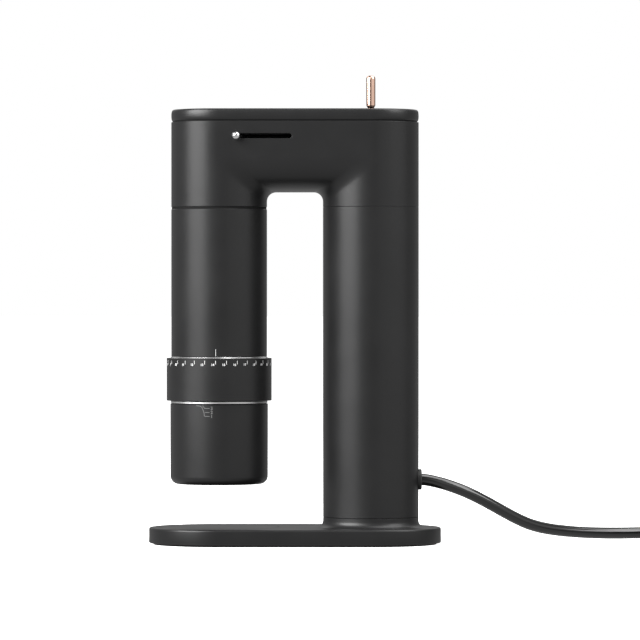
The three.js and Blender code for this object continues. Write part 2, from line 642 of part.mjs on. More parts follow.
function burrShaft() {
  add('burr_shaft', rod(SHAFT_R, SHAFT_FOOT_Z, SHAFT_TOP, COLUMN_X, 0, SMALL_ROUND), STEEL);
  const bore = (z0, z1) => rod(SHAFT_R + GAP, z0 - BEYOND, z1 + BEYOND, COLUMN_X, 0, SMALL_ROUND);
  const nut = rod(NUT.r, NUT.z0, NUT.z1, COLUMN_X, 0, NUT.sides);
  add('burr_nut', cut(nut, bore(NUT.z0, NUT.z1)), STEEL);
  const { hubR, bladeR, bladeW, z0, z1, bladeZ0, bladeZ1 } = AUGER;
  const hub = rod(hubR, z0, z1, COLUMN_X, 0, SMALL_ROUND);
  const blades = blocksAround(hubR - BEYOND, bladeR, bladeW, bladeZ0, bladeZ1);
  add('feed_auger', cut(join(hub, ...blades), bore(z0, z1)), STEEL);
}

// Grind dial: a ring with a narrower bare collar on top. Its inner groove carries the burr carrier's lugs.
const COLLAR = { r: 29, height: 0.8 };

function dialRing() {
  const shoulderZ = DIAL_Z1 - COLLAR.height;
  const threadR = LUG.outer + LUG_PLAY;
  const inner = NECK_R + GAP;
  return turned([
    [inner, DIAL_Z0],
    [DIAL_R, DIAL_Z0],
    [DIAL_R, shoulderZ],
    [COLLAR.r, shoulderZ],
    [COLLAR.r, DIAL_Z1],
    [inner, DIAL_Z1],
    [inner, THREAD_Z1],
    [threadR, THREAD_Z1],
    [threadR, THREAD_Z0],
    [inner, THREAD_Z0],
    [inner, DIAL_Z0],
  ], COLUMN_X);
}

// Catch cup, held up against the steel ring by magnets in its rim
const MAGNET_CIRCLE = 27.1;
const MAGNET_R = 1.2;
const MAGNET_Z0 = 81.1;
const CUP_EDGE_R = 5;
const CUP_FLOOR = 2.5;
const CUP_RIM_BORE = 25;
const CUP_LEDGE_Z0 = 78;
const CUP_LEDGE_Z1 = 79.5;
const CUP_INNER_R = 26.5;
const CUP_INNER_EDGE_R = 3.5;
const SEAT_BORE = 24.9;
const SEAT_R = 29;
const magnetPlaces = aroundCircle(COLUMN_X, MAGNET_CIRCLE, [30, 150, 270]);

function catchCup() {
  const floorZ = CUP_Z0 + CUP_FLOOR;
  const innerEdge = [CUP_INNER_R - CUP_INNER_EDGE_R, floorZ + CUP_INNER_EDGE_R, CUP_INNER_EDGE_R];
  const wall = turned([
    [0, CUP_Z0],
    ...arc(CUP_R - CUP_EDGE_R, CUP_Z0 + CUP_EDGE_R, CUP_EDGE_R, -Math.PI / 2, 0, 4),
    [CUP_R, CUP_Z1],
    [CUP_RIM_BORE, CUP_Z1],
    [CUP_RIM_BORE, CUP_LEDGE_Z1],
    [CUP_INNER_R, CUP_LEDGE_Z0],
    ...arc(...innerEdge, 0, -Math.PI / 2, 3),
    [0, floorZ],
  ], COLUMN_X);
  const pockets = magnetPlaces.map(([x, y]) =>
    rod(MAGNET_R + GAP, MAGNET_Z0 - GAP, CUP_Z1 + BEYOND, x, y, FINE_ROUND));
  return cut(wall, ...pockets);
}

function cup() {
  add('cup_seat_ring', ring(SEAT_BORE, SEAT_R, SEAT_Z0, SEAT_Z1, COLUMN_X), STEEL);
  add('catch_cup', catchCup(), BLACK);
  magnetPlaces.forEach(([x, y], i) => {
    add(`cup_magnet_${i + 1}`, rod(MAGNET_R, MAGNET_Z0, CUP_Z1 - GAP, x, y, FINE_ROUND), STEEL);
  });
}

// Power cord: grommet, relief, free run, put-away coil and plug
const GROMMET = { flangeR: 6.25, x0: 69, x1: 76.1 };
const RELIEF = { x0: 46, r0: 5.6, r1: GROMMET_BODY_R };

function grommet() {
  const { flangeR, x0, x1 } = GROMMET;
  const flange = rodAlongX(flangeR, flangeR, x0, x1, CORD_Z);
  const body = rodAlongX(GROMMET_BODY_R, GROMMET_BODY_R, x0, x1 - GAP, CORD_Z);
  const bore = rodAlongX(CORD_BORE_R, CORD_BORE_R, x0 - BEYOND, x1 + BEYOND, CORD_Z);
  const aroundTube = rod(TUBE_R + GAP, CORD_Z - 2 * flangeR, CORD_Z + 2 * flangeR, TOWER_X);
  return cut(join(cut(flange, aroundTube), body), bore);
}

const cordRoute = [
  [52, 0, 38.8], [60, 0, 38.8], [69, 0, 38.8], [78, 0.1, 38.6], [87, 0.8, 36.7],
  [96, 2.6, 33.8], [105, 5.3, 30.1], [114, 9, 25.5], [123, 13.6, 20.4], [132, 19, 15.4],
  [141, 25, 11.1], [150.5, 31.6, 8.2], [161, 38.8, 6.3], [173, 46.6, 4.9], [185, 54, 4.1],
  [197, 60.6, 3.7], [208.5, 65.4, 3.6], [220, 68.6, 3.6], [231, 70.4, 3.6],
];

function cordRun() {
  const section = new THREE.Shape();
  section.absarc(0, 0, CORD_R, 0, TURN);
  const points = cordRoute.map(([x, y, z]) => new THREE.Vector3(x, y, z));
  const path = new THREE.CatmullRomCurve3(points);
  const options = { steps: 18, curveSegments: CURVE_STEPS, bevelEnabled: false, extrudePath: path };
  return new THREE.ExtrudeGeometry(section, options);
}

const PLUG_HALF_T = 6.9;
const PLUG_EDGE = 1.2;
const PLUG_LENGTH = 36;
const PIN = { r: 2, length: 19, offset: 9.3 };

// Half of the plug seen from above: a neck for the cord, shoulders, and a wide face for the pins.
const PLUG_NECK = [5, -9];
const PLUG_BEND = [6.5, -15];
const PLUG_SHOULDER = [15.5, -18];
const PLUG_WIDEST = [17.5, -22];
const PLUG_FACE = [14.5, -PLUG_LENGTH];

function plugOutline() {
  const mirrored = ([x, y]) => [-x, y];
  const outline = new THREE.Shape();
  outline.moveTo(-PLUG_NECK[0], 0);
  outline.lineTo(...mirrored(PLUG_NECK));
  outline.quadraticCurveTo(...mirrored(PLUG_BEND), ...mirrored(PLUG_SHOULDER));
  outline.lineTo(...mirrored(PLUG_WIDEST));
  outline.lineTo(...mirrored(PLUG_FACE));
  outline.lineTo(...PLUG_FACE);
  outline.lineTo(...PLUG_WIDEST);
  outline.lineTo(...PLUG_SHOULDER);
  outline.quadraticCurveTo(...PLUG_BEND, ...PLUG_NECK);
  outline.lineTo(PLUG_NECK[0], 0);
  return outline;
}

function plug() {
  const options = {
    depth: 2 * (PLUG_HALF_T - PLUG_EDGE),
    bevelThickness: PLUG_EDGE,
    bevelSize: PLUG_EDGE,
    bevelOffset: -PLUG_EDGE,
    bevelSegments: 2,
    curveSegments: CURVE_STEPS,
  };
  const body = new THREE.ExtrudeGeometry(plugOutline(), options);
  add('plug_body', body.translate(PLUG.x, PLUG.y, PLUG.z - PLUG_HALF_T + PLUG_EDGE), RUBBER);
  SIDES.forEach((side, i) => {
    const pin = rod(PIN.r, 0, PIN.length, 0, 0, FINE_ROUND).rotateX(Math.PI / 2);
    const place = [PLUG.x + side * PIN.offset, PLUG.y - PLUG_LENGTH - GAP, PLUG.z];
    add(`plug_pin_${i + 1}`, pin.translate(...place), STEEL);
  });
}

function cord() {
  add('cord_grommet', grommet(), RUBBER);
  const reliefEnd = GROMMET.x0 - GAP;
  const taper = rodAlongX(RELIEF.r0, RELIEF.r1, RELIEF.x0, reliefEnd, CORD_Z);
  const bore = rodAlongX(CORD_BORE_R, CORD_BORE_R, RELIEF.x0 - BEYOND, reliefEnd + BEYOND, CORD_Z);
  add('cord_relief', cut(taper, bore), RUBBER);
  add('cord_run', cordRun(), CORD);
  add('cord_coil', ring(COIL.inner, COIL.outer, COIL.z0, COIL.z1, COIL.x, COIL.y), CORD);
  plug();
}

// Assembly
base();
tower();
add('upper_housing', upperHousing(), BLACK);
add('top_cover', topCover(), BLACK);
hatch();
toggle();
motor();
add('control_board', controlBoard(), PLASTIC);
gearTrain();
gearCase();
add('column_body', columnBody(), BLACK);
add('hopper_liner', hopperLiner(), PLASTIC);
bearings();
burrs();
add('burr_carrier', burrCarrier(), ALUMINIUM);
burrShaft();
add('dial_ring', dialRing(), BLACK);
cup();
cord();

export default grinder;
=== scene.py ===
"""Motor-driven coffee grinder on a two-column stand. Lengths are metres in the frame of the CAD model."""
import json
import math

import bmesh
import bpy
from mathutils import Matrix, Vector

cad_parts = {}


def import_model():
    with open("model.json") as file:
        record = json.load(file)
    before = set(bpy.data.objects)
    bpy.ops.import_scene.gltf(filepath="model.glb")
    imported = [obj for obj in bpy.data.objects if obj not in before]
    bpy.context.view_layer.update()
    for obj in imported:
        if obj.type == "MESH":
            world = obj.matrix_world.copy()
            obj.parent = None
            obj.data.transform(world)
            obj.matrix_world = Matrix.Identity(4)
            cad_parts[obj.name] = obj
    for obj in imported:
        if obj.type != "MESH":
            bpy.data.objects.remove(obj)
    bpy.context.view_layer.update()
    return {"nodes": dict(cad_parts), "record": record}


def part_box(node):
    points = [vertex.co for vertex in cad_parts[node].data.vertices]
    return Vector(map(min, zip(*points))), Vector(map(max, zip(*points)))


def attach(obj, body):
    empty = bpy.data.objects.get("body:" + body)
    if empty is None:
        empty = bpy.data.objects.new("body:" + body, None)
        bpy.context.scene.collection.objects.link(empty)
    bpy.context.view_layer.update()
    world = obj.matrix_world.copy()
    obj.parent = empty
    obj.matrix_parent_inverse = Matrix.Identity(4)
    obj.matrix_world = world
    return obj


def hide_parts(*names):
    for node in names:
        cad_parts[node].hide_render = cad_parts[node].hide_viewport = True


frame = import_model()
MM = 0.001
TURN = 2 * math.pi


# ---------------------------------------------------------------- camera
CAMERA_PLACE = (0.015, -2.97, 0.150)
CAMERA_DIP = 0.3
SENSOR_WIDTH = 36
LENS = 278.4
CLIP_END = 60


def camera():
    """Nearly level, 2.97 m in front of the columns, with a long lens."""
    data = bpy.data.cameras.new("camera")
    data.sensor_width = SENSOR_WIDTH
    data.lens = LENS
    data.clip_end = CLIP_END
    eye = bpy.data.objects.new("camera", data)
    eye.location = CAMERA_PLACE
    eye.rotation_euler = (math.radians(90 - CAMERA_DIP), 0, 0)
    bpy.context.scene.collection.objects.link(eye)
    bpy.context.scene.camera = eye


camera()


# ---------------------------------------------------------------- mesh helpers
def new_object(name, data):
    piece = bpy.data.objects.new(name, data)
    bpy.context.scene.collection.objects.link(piece)
    return piece


def mesh_object(name, verts, faces):
    mesh = bpy.data.meshes.new(name)
    mesh.from_pydata([tuple(v) for v in verts], [], faces)
    bm = bmesh.new()
    bm.from_mesh(mesh)
    bmesh.ops.remove_doubles(bm, verts=bm.verts, dist=1e-6)
    bmesh.ops.dissolve_degenerate(bm, edges=bm.edges, dist=1e-7)
    bmesh.ops.recalc_face_normals(bm, faces=bm.faces)
    bm.to_mesh(mesh)
    bm.free()
    return new_object(name, mesh)


def baked(piece):
    """A new mesh of a piece as its modifiers leave it, or of a curve or text."""
    bpy.context.view_layer.update()
    return bpy.data.meshes.new_from_object(piece.evaluated_get(bpy.context.evaluated_depsgraph_get()))


def apply_modifiers(piece):
    done = baked(piece)
    piece.modifiers.clear()
    old, piece.data = piece.data, done
    done.name = old.name
    bpy.data.meshes.remove(old)


def shade(piece, angle=30):
    """Smooth, with a crease where faces meet at more than the angle."""
    piece.data.shade_smooth()
    piece.data.set_sharp_from_angle(angle=math.radians(angle))


def arc(cr, cz, r, start, end, steps=8):
    """Points of a fillet in a profile, with its angles in degrees."""
    out = []
    for i in range(steps + 1):
        a = math.radians(start + (end - start) * i / steps)
        out.append((cr + r * math.cos(a), cz + r * math.sin(a)))
    return out


def turned(name, profile, x=0.0, span=0.0, segments=192, closed=True):
    """A profile of (radius, z) in mm, swept round the upright line at x, or round a stadium whose ends are
    span apart on either side of it."""
    angles = []
    for i in range(segments + 1):
        a = -math.pi / 2 + TURN * i / segments
        angles.append((a, span if i <= segments // 2 else -span))
        if span and i == segments // 2:
            angles.append((a, -span))
    angles[-1] = (-math.pi / 2, -span)
    verts = [((x + shift + r * math.cos(a)) * MM, r * math.sin(a) * MM, z * MM)
             for a, shift in angles for r, z in profile]
    faces = []
    n = len(profile)
    columns = len(angles)
    for i in range(columns if span else columns - 1):
        j = (i + 1) % columns
        for k in range(n if closed else n - 1):
            m = (k + 1) % n
            on_axis = profile[k][0] == 0 and profile[m][0] == 0
            if not on_axis:
                faces.append((i * n + k, j * n + k, j * n + m, i * n + m))
    return mesh_object(name, verts, faces)


def cut_with(piece, tool, operation="DIFFERENCE"):
    mod = piece.modifiers.new("cut", "BOOLEAN")
    mod.operation = operation
    mod.solver = "EXACT"
    mod.object = tool
    apply_modifiers(piece)
    bpy.data.objects.remove(tool)


SHARP_ANGLE = 40


def soften(piece, width):
    """Small rounds on the sharp edges."""
    mod = piece.modifiers.new("edge", "BEVEL")
    mod.width = width
    mod.segments = 2
    mod.limit_method = "ANGLE"
    mod.angle_limit = math.radians(SHARP_ANGLE)
    mod.harden_normals = True
    mod.miter_outer = "MITER_ARC"


def rod(name, r, z0, z1, x=0.0, y=0.0, segments=64):
    """An upright cylinder, in mm."""
    piece = turned(name, [(0, z0), (r, z0), (r, z1), (0, z1)], x, 0, segments)
    piece.data.transform(Matrix.Translation((0, y * MM, 0)))
    return piece


# ---------------------------------------------------------------- cord
CORD_D = 0.0071
# From inside the tower to the coil, in mm: out of the grommet, down to the table and back along it.
CORD_RUN = [
    (52, 0, 38.8), (60, 0, 38.8), (69, 0, 38.8), (78, 0.1, 38.6), (87, 0.8, 36.7),
    (96, 2.6, 33.8), (105, 5.3, 30.1), (114, 9, 25.5), (123, 13.6, 20.4), (132, 19, 15.4),
    (141, 25, 11.1), (150.5, 31.6, 8.2), (161, 38.8, 6.3), (173, 46.6, 4.9), (185, 54, 4.1),
    (197, 60.6, 3.7), (208.5, 65.4, 3.6), (220, 68.6, 3.6), (231, 70.4, 3.6),
]


COIL_ENTRY = (0.2470, 0.0728, 0.0036)


def eased(t):
    """From 0 to 1 with level ends."""
    t = min(max(t, 0), 1)
    return t * t * (3 - 2 * t)


COIL_OUTER = 0.0423
COIL_INNER = 0.0351
COIL_FLOOR = 0.0036
COIL_UPPER = 0.01078
COIL_START = 90
COIL_SWEEP = 1170
COIL_STEPS = 78
# Where the turns begin to change place, and over how many degrees.
STEP_INWARD = (-200, 60)
STEP_UP = (-500, 70)
STEP_OUTWARD = (-790, 65)
TIE_ANGLE = 60
TIE_T = 0.0006
TIE_WIDTH = 0.010
TIE_ROOM = 0.0001
TIE_REACH = 40
TIE_RISE = 32
STRAP_GAP = 0.00003


def tie_lift(angle):
    """The tie passes under the turns, which rise over it."""
    apart = abs((angle - TIE_ANGLE + 180) % 360 - 180)
    return (TIE_T + TIE_ROOM) * eased((TIE_REACH - apart) / TIE_RISE)


def centre_of(node):
    low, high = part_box(node)
    return [(a + b) / 2 for a, b in zip(low, high)]


def stepped(angle, step):
    start, length = step
    return eased((start - angle) / length)


def coil_points():
    """Three and a quarter clockwise turns, two wide and two high, that leave on the right for the plug."""
    cx, cy, _ = centre_of("cord_coil")
    points = []
    for i in range(COIL_STEPS + 1):
        a = COIL_START - COIL_SWEEP * i / COIL_STEPS
        inward = stepped(a, STEP_INWARD) - stepped(a, STEP_OUTWARD)
        r = COIL_OUTER + (COIL_INNER - COIL_OUTER) * inward
        z = COIL_FLOOR + (COIL_UPPER - COIL_FLOOR) * stepped(a, STEP_UP) + tie_lift(a)
        points.append((cx + r * math.cos(math.radians(a)), cy + r * math.sin(math.radians(a)), z))
    return points


def cord_route():
    """The run, the coil and the lead-in to the plug."""
    start = [Vector(p) * MM for p in CORD_RUN]
    turns = [Vector(p) for p in coil_points()]
    plug_low, plug_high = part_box("plug_body")
    end = Vector(((plug_low[0] + plug_high[0]) / 2, plug_high[1] + 0.0002, (plug_low[2] + plug_high[2]) / 2))
    before = turns[-1].lerp(end, 0.55)
    before.z = end.z + 0.001
    return start + [Vector(COIL_ENTRY)] + turns + [before, end]


def smooth_line(points, per=6):
    """Catmull-Rom through the points."""
    line = []
    padded = [points[0] * 2 - points[1], *points, points[-1] * 2 - points[-2]]
    for p0, p1, p2, p3 in zip(padded, padded[1:], padded[2:], padded[3:]):
        for i in range(per):
            t = i / per
            line.append(
                0.5 * (2 * p1 + (p2 - p0) * t + (2 * p0 - 5 * p1 + 4 * p2 - p3) * t * t
                       + (3 * p1 - p0 - 3 * p2 + p3) * t ** 3)
            )
    return line + [points[-1]]


def strap_path(half, corner, gap):
    """Once round the bundle and over its own start, from the top, seen along the cord."""
    path = [(-0.001, half + gap)]
    for u, w, start in ((1, 1, 90), (1, -1, 0), (-1, -1, -90), (-1, 1, -180)):
        for i in range(9):
            a = math.radians(start - 90 * i / 8)
            path.append((u * (half - corner) + (corner + gap) * math.cos(a),
                         w * (half - corner) + (corner + gap) * math.sin(a)))
    over = half + gap + TIE_T + STRAP_GAP
    return path + [(-0.0028, half + gap), (-0.0014, over), (0.0040, over), (0.0064, over - 0.0003)]


def coil_tie():
    """A flat strap round the four strands of the coil, with its free end laid back on the top."""
    cx, cy, _ = centre_of("cord_coil")
    half = CORD_D / 2 + (COIL_UPPER - COIL_FLOOR) / 2
    path = [Vector(p) for p in strap_path(half, CORD_D / 2, TIE_T / 2 + STRAP_GAP)]
    verts, faces = [], []
    for i, point in enumerate(path):
        along = (path[min(i + 1, len(path) - 1)] - path[max(i - 1, 0)]).normalized()
        out = Vector((-along.y, along.x)) * TIE_T / 2
        for side, shift in ((1, -1), (1, 1), (-1, 1), (-1, -1)):
            u, w = point + side * out
            verts.append((u, shift * TIE_WIDTH / 2, w))
    for i in range(len(path) - 1):
        a, b = 4 * i, 4 * i + 4
        faces += [(a + k, a + (k + 1) % 4, b + (k + 1) % 4, b + k) for k in range(4)]
    last = 4 * len(path) - 4
    faces += [(0, 1, 2, 3), (last, last + 1, last + 2, last + 3)]
    strap = mesh_object("coil_tie", verts, faces)
    middle_z = (COIL_FLOOR + COIL_UPPER) / 2 + tie_lift(TIE_ANGLE)
    turn = Matrix.Rotation(math.radians(TIE_ANGLE), 4, "Z")
    to_bundle = Matrix.Translation(((COIL_OUTER + COIL_INNER) / 2, 0, 0))
    strap.data.transform(Matrix.Translation((cx, cy, middle_z)) @ turn @ to_bundle)
    shade(strap)
    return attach(strap, "stand")


def tube_along(name, line):
    """A mesh tube of the cord's diameter along a line of points."""
    data = bpy.data.curves.new("cord_line", "CURVE")
    data.dimensions = "3D"
    data.bevel_depth = CORD_D / 2
    data.bevel_resolution = 6
    data.use_fill_caps = True
    spline = data.splines.new("POLY")
    spline.points.add(len(line) - 1)
    for point, co in zip(spline.points, line):
        point.co = (*co, 1)
    spline.use_smooth = True
    guide = new_object("cord_line", data)
    mesh = baked(guide)
    bpy.data.objects.remove(guide)
    mesh.name = name
    return new_object(name, mesh)


def power_cord():
    line = smooth_line(cord_route())
    cord = tube_along("power_cord", line)
    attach(cord, "stand")
    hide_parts("cord_run", "cord_coil")
    return cord


coil_tie_piece = coil_tie()
power_cord_piece = power_cord()


# ---------------------------------------------------------------- materials
BROAD_SCALE = 35
BUMP_DEPTH = 0.0002
COAT_ROUGHNESS = 0.08
ROUGHNESS_SPREAD = 0.03
COLOR_SPREAD = 0.06


def noise(nodes, links, scale, detail, stretch=(1, 1, 1)):
    place = nodes.new("ShaderNodeTexCoord")
    mapping = nodes.new("ShaderNodeMapping")
    mapping.inputs["Scale"].default_value = stretch
    texture = nodes.new("ShaderNodeTexNoise")
    texture.inputs["Scale"].default_value = scale
    texture.inputs["Detail"].default_value = detail
    links.new(place.outputs["Object"], mapping.inputs["Vector"])
    links.new(mapping.outputs["Vector"], texture.inputs["Vector"])
    return texture


def spread(nodes, links, value, low, high):
    """Maps the middle of a noise's range to low and high."""
    ramp = nodes.new("ShaderNodeMapRange")
    ramp.inputs["From Min"].default_value = 0.3
    ramp.inputs["From Max"].default_value = 0.7
    ramp.inputs["To Min"].default_value = low
    ramp.inputs["To Max"].default_value = high
    links.new(value, ramp.inputs["Value"])
    return ramp.outputs["Result"]


def material(name, color, metallic, roughness, grain, grain_scale=2200, stretch=(1, 1, 1), coat=0.0,
             specular=0.5):
    """A painted, anodised, moulded or machined finish, whose colour and gloss vary, with a fine grain."""
    made = bpy.data.materials.new(name)
    made.use_nodes = True
    nodes, links = made.node_tree.nodes, made.node_tree.links
    shader = nodes["Principled BSDF"]
    shader.inputs["Metallic"].default_value = metallic
    shader.inputs["Coat Weight"].default_value = coat
    shader.inputs["Coat Roughness"].default_value = COAT_ROUGHNESS
    shader.inputs["Specular IOR Level"].default_value = specular
    broad = noise(nodes, links, BROAD_SCALE, 4).outputs["Fac"]
    gloss = spread(nodes, links, broad, roughness - ROUGHNESS_SPREAD, roughness + ROUGHNESS_SPREAD)
    links.new(gloss, shader.inputs["Roughness"])
    tint = nodes.new("ShaderNodeMix")
    tint.data_type = "RGBA"
    tint.inputs["A"].default_value = (*[c * (1 - COLOR_SPREAD) for c in color], 1)
    tint.inputs["B"].default_value = (*[c * (1 + COLOR_SPREAD) for c in color], 1)
    links.new(spread(nodes, links, broad, 0, 1), tint.inputs["Factor"])
    links.new(tint.outputs["Result"], shader.inputs["Base Color"])
    fine = noise(nodes, links, grain_scale, 2, stretch)
    bump = nodes.new("ShaderNodeBump")
    bump.inputs["Strength"].default_value = grain
    bump.inputs["Distance"].default_value = BUMP_DEPTH
    links.new(fine.outputs["Fac"], bump.inputs["Height"])
    links.new(bump.outputs["Normal"], shader.inputs["Normal"])
    return made


LOOKS = {
    "black": material("black_anodised", (0.009, 0.009, 0.0092), 0.0, 0.36, grain=0.1, grain_scale=3000,
                      specular=0.34),
    "polished_steel": material("polished_steel", (0.72, 0.72, 0.72), 1.0, 0.13, grain=0.0),
    "steel": material("machined_steel", (0.55, 0.55, 0.56), 1.0, 0.32, grain=0.08, stretch=(1, 1, 12)),
    "bare_aluminium": material("bare_aluminium", (0.62, 0.62, 0.63), 1.0, 0.38, grain=0.1),
    "brass": material("brass", (0.72, 0.55, 0.27), 1.0, 0.3, grain=0.06),
    "copper": material("rose_copper", (0.90, 0.60, 0.47), 1.0, 0.14, grain=0.0),
    "inner_plastic": material("moulded_plastic", (0.03, 0.03, 0.031), 0.0, 0.5, grain=0.2, grain_scale=1500),
    "rubber": material("rubber", (0.014, 0.014, 0.014), 0.0, 0.62, grain=0.25, grain_scale=1800),
    "cord_pvc": material("glossy_pvc", (0.006, 0.006, 0.006), 0.0, 0.14, grain=0.03, coat=0.3),
}
PRINT = material("white_print", (0.75, 0.75, 0.75), 0.0, 0.55, grain=0.05)
FAINT_PRINT = material("grey_print", (0.13, 0.13, 0.13), 0.0, 0.55, grain=0.05)
# Near-black that paints in shade: in the column's groove, at the lid's seam, and on the foot pad's side as a
# painted contact shadow.
SHADOW_BLACK = material("painted_shade_black", (0.004, 0.004, 0.004), 0.0, 0.7, grain=0.1, specular=0.15)
COLLAR_METAL = material("bare_collar", (0.7, 0.7, 0.7), 1.0, 0.22, grain=0.02)
RING_METAL = material("seat_ring", (0.7, 0.7, 0.7), 1.0, 0.42, grain=0.04)


def dress(piece, body, look, *nodes):
    """Rides on a body, takes a finish, and stands for its CAD nodes."""
    piece.data.materials.clear()
    piece.data.materials.append(LOOKS[look])
    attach(piece, body)
    if nodes:
        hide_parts(*nodes)
    return piece


def refinish(piece, look, z0, z1):
    """Gives the faces whose middles lie between two heights another material: a real finish, or a near-black
    that paints in shade.
    """
    piece.data.materials.append(look)
    for face in piece.data.polygons:
        if z0 < face.center.z / MM < z1:
            face.material_index = len(piece.data.materials) - 1


def axis_of(node):
    return centre_of(node)[0] / MM


def heights(node):
    low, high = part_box(node)
    return low[2] / MM, high[2] / MM


def radius_of(node):
    low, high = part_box(node)
    return (high[1] - low[1]) / 2 / MM


COLUMN_X = axis_of("column_body")
TOWER_X = axis_of("tower_tube")
TUBE_R = radius_of("tower_tube")


# ---------------------------------------------------------------- base and tower
BASE_TOP = 10.3
BASE_FLOOR = 1.0
BASE_ROUND = 1.3
BASE_FOOT_ROUND = 0.3
PAD_RECESS_R, PAD_RECESS_Z = 39.8, 2.5
PAD_R, PAD_Z, PAD_ROUND = 39.5, 2.2, 0.4
BOSS_FLARE = 4.0
BOSS_OVERLAP = 0.005
PARKING_R0, PARKING_R1, PARKING_DEPTH = 35.8, 36.2, 0.3
TOWER_BORE_R = 26
TOWER_EDGE = 0.12
LIP = 0.8
SEAM = 0.25


def base():
    """A stadium with a flared boss for the tower, a fine circle where the cup is parked, and a pad below."""
    r = radius_of("base_plate")
    boss_top = heights("base_plate")[1]
    plate = turned("base_plate_fine", [
        (0, PAD_RECESS_Z), (PAD_RECESS_R, PAD_RECESS_Z), (PAD_RECESS_R, BASE_FLOOR),
        *arc(r - BASE_FOOT_ROUND, BASE_FLOOR + BASE_FOOT_ROUND, BASE_FOOT_ROUND, -90, 0, 4),
        *arc(r - BASE_ROUND, BASE_TOP - BASE_ROUND, BASE_ROUND, 0, 90, 8), (0, BASE_TOP),
    ], 0, TOWER_X)
    foot_r, foot_z = TUBE_R + BOSS_FLARE, BASE_TOP + BOSS_OVERLAP
    boss = turned("boss", [
        (0, BASE_TOP - 3), (foot_r, BASE_TOP - 3), (foot_r, foot_z),
        *arc(foot_r, foot_z + BOSS_FLARE, BOSS_FLARE, -90, -180, 12)[1:],
        (TUBE_R, boss_top - 0.1), (TUBE_R - 0.1, boss_top), (TUBE_R - LIP, boss_top),
        (TUBE_R - LIP, boss_top + 0.01), (0, boss_top + 0.01),
    ], TOWER_X)
    floor_z = BASE_TOP - PARKING_DEPTH
    ring = turned("ring_cut", [
        (PARKING_R0, floor_z), (PARKING_R1, floor_z), (PARKING_R1, BASE_TOP + 1), (PARKING_R0, BASE_TOP + 1),
    ], COLUMN_X)
    cut_with(plate, boss, operation="UNION")
    cut_with(plate, ring)
    shade(plate)
    dress(plate, "stand", "black", "base_plate")
    pad = turned("foot_pad_fine", [
        (0, 0), *arc(PAD_R - PAD_ROUND, PAD_ROUND, PAD_ROUND, -90, 0, 4), (PAD_R, PAD_Z), (0, PAD_Z),
    ], 0, TOWER_X)
    shade(pad)
    dress(pad, "stand", "rubber", "foot_pad")
    # The pad's side is painted near-black: a painted contact shadow under the base plate.
    refinish(pad, SHADOW_BLACK, 0.001, 2)


def tube(name, body, look, node, z0, z1, r_in, r_out, x, edge):
    piece = turned(name, [
        (r_in, z0), (r_out - edge, z0), (r_out, z0 + edge),
        (r_out, z1 - edge), (r_out - edge, z1), (r_in, z1),
    ], x)
    shade(piece)
    return dress(piece, body, look, node)


base()
tower_z0, tower_z1 = heights("tower_tube")
tube("tower_tube_fine", "stand", "black", "tower_tube",
     tower_z0 - 0.1, tower_z1 + SEAM, TOWER_BORE_R, TUBE_R, TOWER_X, TOWER_EDGE)


# ---------------------------------------------------------------- housing and cover
BRIDGE_EDGE = 233.0
BRIDGE_DROP = 22.0
BRIDGE_FULLNESS = 2.4
ARCH_FILLET = 5.5
CREASE_FILLET = 2.0
WALL = 2.5
SLOT_X0, SLOT_X1, SLOT_Z, SLOT_HALF = -36.4, -1.8, 244.1, 1.5
HOUSING_EDGE = 0.00022
LID_Z0 = 253.6
LID_CEILING = 257.6
LID_COLLAR_R0, LID_COLLAR_R1, LID_COLLAR_Z = 24.2, 25.7, 250.5
LID_GAP = 0.5
LID_SOFT = 0.0003
CHUTE_R0, CHUTE_R1, CHUTE_Z0, CHUTE_Z1 = 12, 15, 247.6, 258.5
INLET_R = 13
LEVER_HOLE_R = 3.3
BUSHING_R, BUSHING_Z = 6.1, 258.6
ABOVE_LID = 262


def add_grid(verts, faces, rows):
    """Adds a sheet of quads through rows of points in mm."""
    start, width = len(verts), len(rows[0])
    for row in rows:
        verts.extend((x * MM, y * MM, z * MM) for x, y, z in row)
    for i in range(len(rows) - 1):
        for k in range(width - 1):
            a = start + i * width + k
            faces.append((a, a + 1, a + width + 1, a + width))


